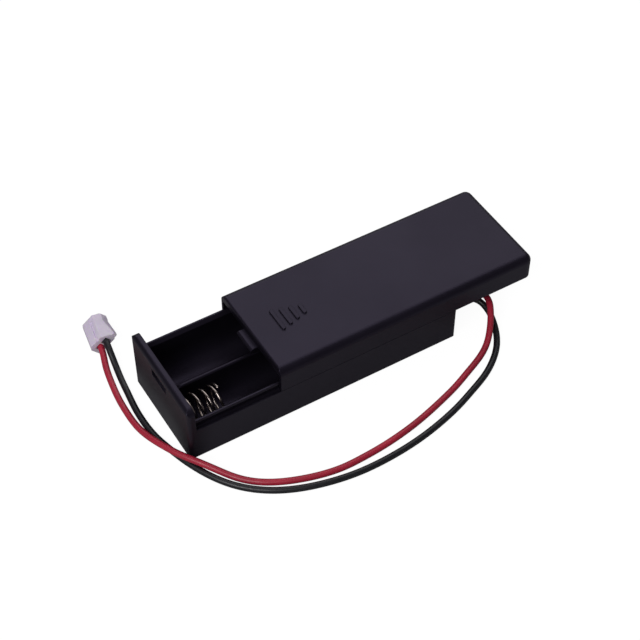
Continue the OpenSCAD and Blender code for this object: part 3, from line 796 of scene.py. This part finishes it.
@dataclass
class CellSpring:
    """Spring that presses a cell, wound right-handed from its contact plate.

    Lengths are in millimetres. The first and last closed turns lie against each other.
    """

    name: str
    node: str
    turns: int = 5
    closed: float = 0.75
    closed_pitch: float = 1.04
    wire: float = 0.6
    first_radius: float = 3.6
    last_radius: float = 3.4
    free_length: float = 9.1
    steps: int = 40
    sides: int = 12

    def advance(self, t: np.ndarray) -> np.ndarray:
        """How far along the axis the wire's middle is after t turns.

        It gains the wire's own width a turn, times closed_pitch, over the closed turns at
        each end, and an even pitch that makes up the free length in between.

        Args:
            t: Numbers of turns.

        Returns:
            The distances in millimetres.
        """
        close_pitch = self.wire * self.closed_pitch
        open_turns = self.turns - 2 * self.closed
        pitch = (self.free_length - self.wire - 2 * close_pitch * self.closed) / open_turns
        return (
            close_pitch * np.minimum(t, self.closed)
            + pitch * np.clip(t - self.closed, 0, open_turns)
            + close_pitch * np.clip(t - self.closed - open_turns, 0, None)
        )

    def build(self, seat: Matrix) -> bpy.types.Object:
        """Wind the spring and stand it on its plate.

        The wire's middle after t turns is (advance(t), -r sin 2 pi t, r cos 2 pi t), and
        a ring of it lies in the plane of the axis and the radius.

        Args:
            seat: Place of the plate's face: +X points from the plate along the spring.

        Returns:
            The spring, which replaces its CAD node.
        """
        t = np.linspace(0, self.turns, self.turns * self.steps + 1)[:, None]
        a = 2 * math.pi * t
        b = np.linspace(0, 2 * math.pi, self.sides, endpoint=False)[None, :]
        radius = self.first_radius + (self.last_radius - self.first_radius) * t / self.turns
        q = radius + self.wire / 2 * np.cos(b)
        along = self.wire / 2 + self.advance(t) + self.wire / 2 * np.sin(b)
        co = np.stack([along, -q * np.sin(a), q * np.cos(a)], axis=-1).reshape(-1, 3) * MM
        place = np.array(seat)
        co = co @ place[:3, :3].T + place[:3, 3]
        piece = mesh_object(self.name, co, tube_faces(len(t), self.sides))
        recalculate(piece)
        dress(piece, SPRING_WIRE)
        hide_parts(self.node)
        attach(piece, Body.HOLDER.value)
        return piece


@dataclass
class Contacts:
    """Plates at both ends of the bays and the two springs that stand on them.

    The height of the cells' axis and the thickness of a plate are in millimetres.
    """

    cell_z: float = 6.6
    plate: float = 0.4

    def build(self) -> None:
        """Dress the plates, and wind both springs."""
        for node in ("bridge_plate", "positive_plate", "negative_plate"):
            dress(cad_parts[node], NICKEL_STRIP)
        low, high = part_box("bridge_spring")
        front = Matrix.Translation((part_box("bridge_plate")[0].x + self.plate * MM,
                                    (low.y + high.y) / 2, self.cell_z * MM))
        CellSpring("near_bay_spring", "bridge_spring").build(front)
        low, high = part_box("negative_spring")
        back = Matrix.Translation((high.x, (low.y + high.y) / 2, self.cell_z * MM))
        CellSpring("far_bay_spring", "negative_spring").build(back @ Matrix.Rotation(math.pi, 4, "Z"))
        dress(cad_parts["solder_joints"], SOLDER)
        log.info("contacts: three plates, two springs and the solder")


@dataclass
class SlideSwitch:
    """Slide switch under the tray: shell, board, pins, slider and wiper, with their finishes."""

    finishes: tuple[tuple[str, Finish], ...] = (
        ("switch_shell", NICKEL_STRIP),
        ("switch_base", BROWN_BOARD),
        ("switch_pin_1", CONTACT_BRASS),
        ("switch_pin_2", CONTACT_BRASS),
        ("switch_pin_3", CONTACT_BRASS),
        ("switch_slider", KNOB_PLASTIC),
        ("switch_wiper", CONTACT_BRASS),
    )

    def build(self) -> None:
        """Dress each of the switch's pieces."""
        for node, finish in self.finishes:
            dress(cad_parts[node], finish)
        log.info("switch: %d pieces", len(self.finishes))


# ---------------------------------------------------------------- studio


@dataclass
class SoftBox:
    """One large soft lamp, with its distance and size in metres."""

    name: str
    direction: Place
    distance: float
    size: float
    radiance: float

    def build(self, target: Vector) -> None:
        """Hang the lamp so that it faces the target at a known brightness.

        Args:
            target: The point that the lamp faces.
        """
        data = bpy.data.lights.new(self.name, "AREA")
        data.shape = "SQUARE"
        data.size = self.size
        data.energy = self.radiance * math.pi * self.size**2
        lamp = bpy.data.objects.new(self.name, data)
        way = Vector(self.direction).normalized()
        lamp.location = target + way * self.distance
        lamp.rotation_euler = (-way).to_track_quat("-Z", "Y").to_euler()
        bpy.context.scene.collection.objects.link(lamp)


BACK_LAMP = SoftBox(
    "back lamp", direction=(0.342, 0.568, 0.748), distance=0.75, size=0.85, radiance=0.95
)
KEY_LAMP = SoftBox(
    "key lamp", direction=(-0.62, -0.35, 0.7), distance=0.9, size=0.5, radiance=5.0
)


@dataclass
class Studio:
    """Pale floor, soft lamps and a dim room."""

    lamps: tuple[SoftBox, ...] = (BACK_LAMP, KEY_LAMP)
    lamp_target: Place = (0.0, 0.0, 0.01)
    floor_size: float = 6.0
    floor_grey: float = 0.42
    shadow_share: float = 0.12
    lit: float = 0.955
    gloss_share: float = 0.03
    room: float = 0.08
    room_tint: Colour = (0.96, 0.88, 1.0)

    def white_share(self, tree: bpy.types.NodeTree) -> bpy.types.NodeSocket:
        """How much of the plain white a ray sees.

        A ray from the camera or through glass sees all of it, one from a polished
        surface a little.

        Args:
            tree: Node tree of the floor or the room.

        Returns:
            The socket that gives the share, 0 to 1.
        """
        rays = tree.nodes.new("ShaderNodeLightPath")
        clear = tree.nodes.new("ShaderNodeMath")
        clear.operation = "MAXIMUM"
        tree.links.new(rays.outputs["Is Camera Ray"], clear.inputs[0])
        tree.links.new(rays.outputs["Is Transmission Ray"], clear.inputs[1])
        gloss = tree.nodes.new("ShaderNodeMath")
        gloss.operation = "MULTIPLY_ADD"
        gloss.use_clamp = True
        gloss.inputs[1].default_value = self.gloss_share
        tree.links.new(rays.outputs["Is Glossy Ray"], gloss.inputs[0])
        tree.links.new(clear.outputs[0], gloss.inputs[2])
        return gloss.outputs[0]

    def floor(self) -> None:
        """A wide plane at z = 0 that looks white and keeps a faint shadow."""
        half = self.floor_size / 2
        corners = np.array([[-half, -half, 0], [half, -half, 0], [half, half, 0], [-half, half, 0]])
        plane = mesh_object("studio_floor", corners, [[0, 1, 2, 3]], smooth=False)
        made = bpy.data.materials.new("studio floor")
        made.use_nodes = True
        tree = made.node_tree
        tree.nodes.remove(tree.nodes["Principled BSDF"])
        grey = tree.nodes.new("ShaderNodeBsdfDiffuse")
        grey.inputs["Color"].default_value = (self.floor_grey, self.floor_grey, self.floor_grey, 1.0)
        white = tree.nodes.new("ShaderNodeEmission")
        white.inputs["Strength"].default_value = self.lit
        shade = tree.nodes.new("ShaderNodeBsdfDiffuse")
        shade.inputs["Color"].default_value = (self.shadow_share,) * 3 + (1.0,)
        both = tree.nodes.new("ShaderNodeAddShader")
        choose = tree.nodes.new("ShaderNodeMixShader")
        tree.links.new(white.outputs[0], both.inputs[0])
        tree.links.new(shade.outputs[0], both.inputs[1])
        tree.links.new(self.white_share(tree), choose.inputs[0])
        tree.links.new(grey.outputs[0], choose.inputs[1])
        tree.links.new(both.outputs[0], choose.inputs[2])
        tree.links.new(choose.outputs[0], tree.nodes["Material Output"].inputs["Surface"])
        plane.data.materials.append(made)

    def world(self) -> None:
        """A dim room that the camera sees as plain white."""
        world = bpy.data.worlds.new("room")
        world.use_nodes = True
        tree = world.node_tree
        dim = tree.nodes["Background"]
        dim.inputs["Color"].default_value = (*self.room_tint, 1.0)
        dim.inputs["Strength"].default_value = self.room
        white = tree.nodes.new("ShaderNodeBackground")
        choose = tree.nodes.new("ShaderNodeMixShader")
        tree.links.new(self.white_share(tree), choose.inputs[0])
        tree.links.new(dim.outputs[0], choose.inputs[1])
        tree.links.new(white.outputs[0], choose.inputs[2])
        tree.links.new(choose.outputs[0], tree.nodes["World Output"].inputs["Surface"])
        bpy.context.scene.world = world

    def build(self) -> None:
        """Lay the floor, hang the lamps and set how the picture is shown."""
        bpy.context.scene.view_settings.view_transform = "Standard"
        self.floor()
        self.world()
        for lamp in self.lamps:
            lamp.build(Vector(self.lamp_target))
        log.info("studio: floor, room and lamps")


def main() -> None:
    """Build the camera and leads first, then the other pieces, then the studio."""
    logging.basicConfig(level=logging.INFO, format="%(name)s: %(message)s")
    Viewpoint().build()
    plug = Plug().build()
    Leads().build(plug)
    Mouldings().build()
    Contacts().build()
    SlideSwitch().build()
    Studio().build()


if __name__ == "__main__":
    main()
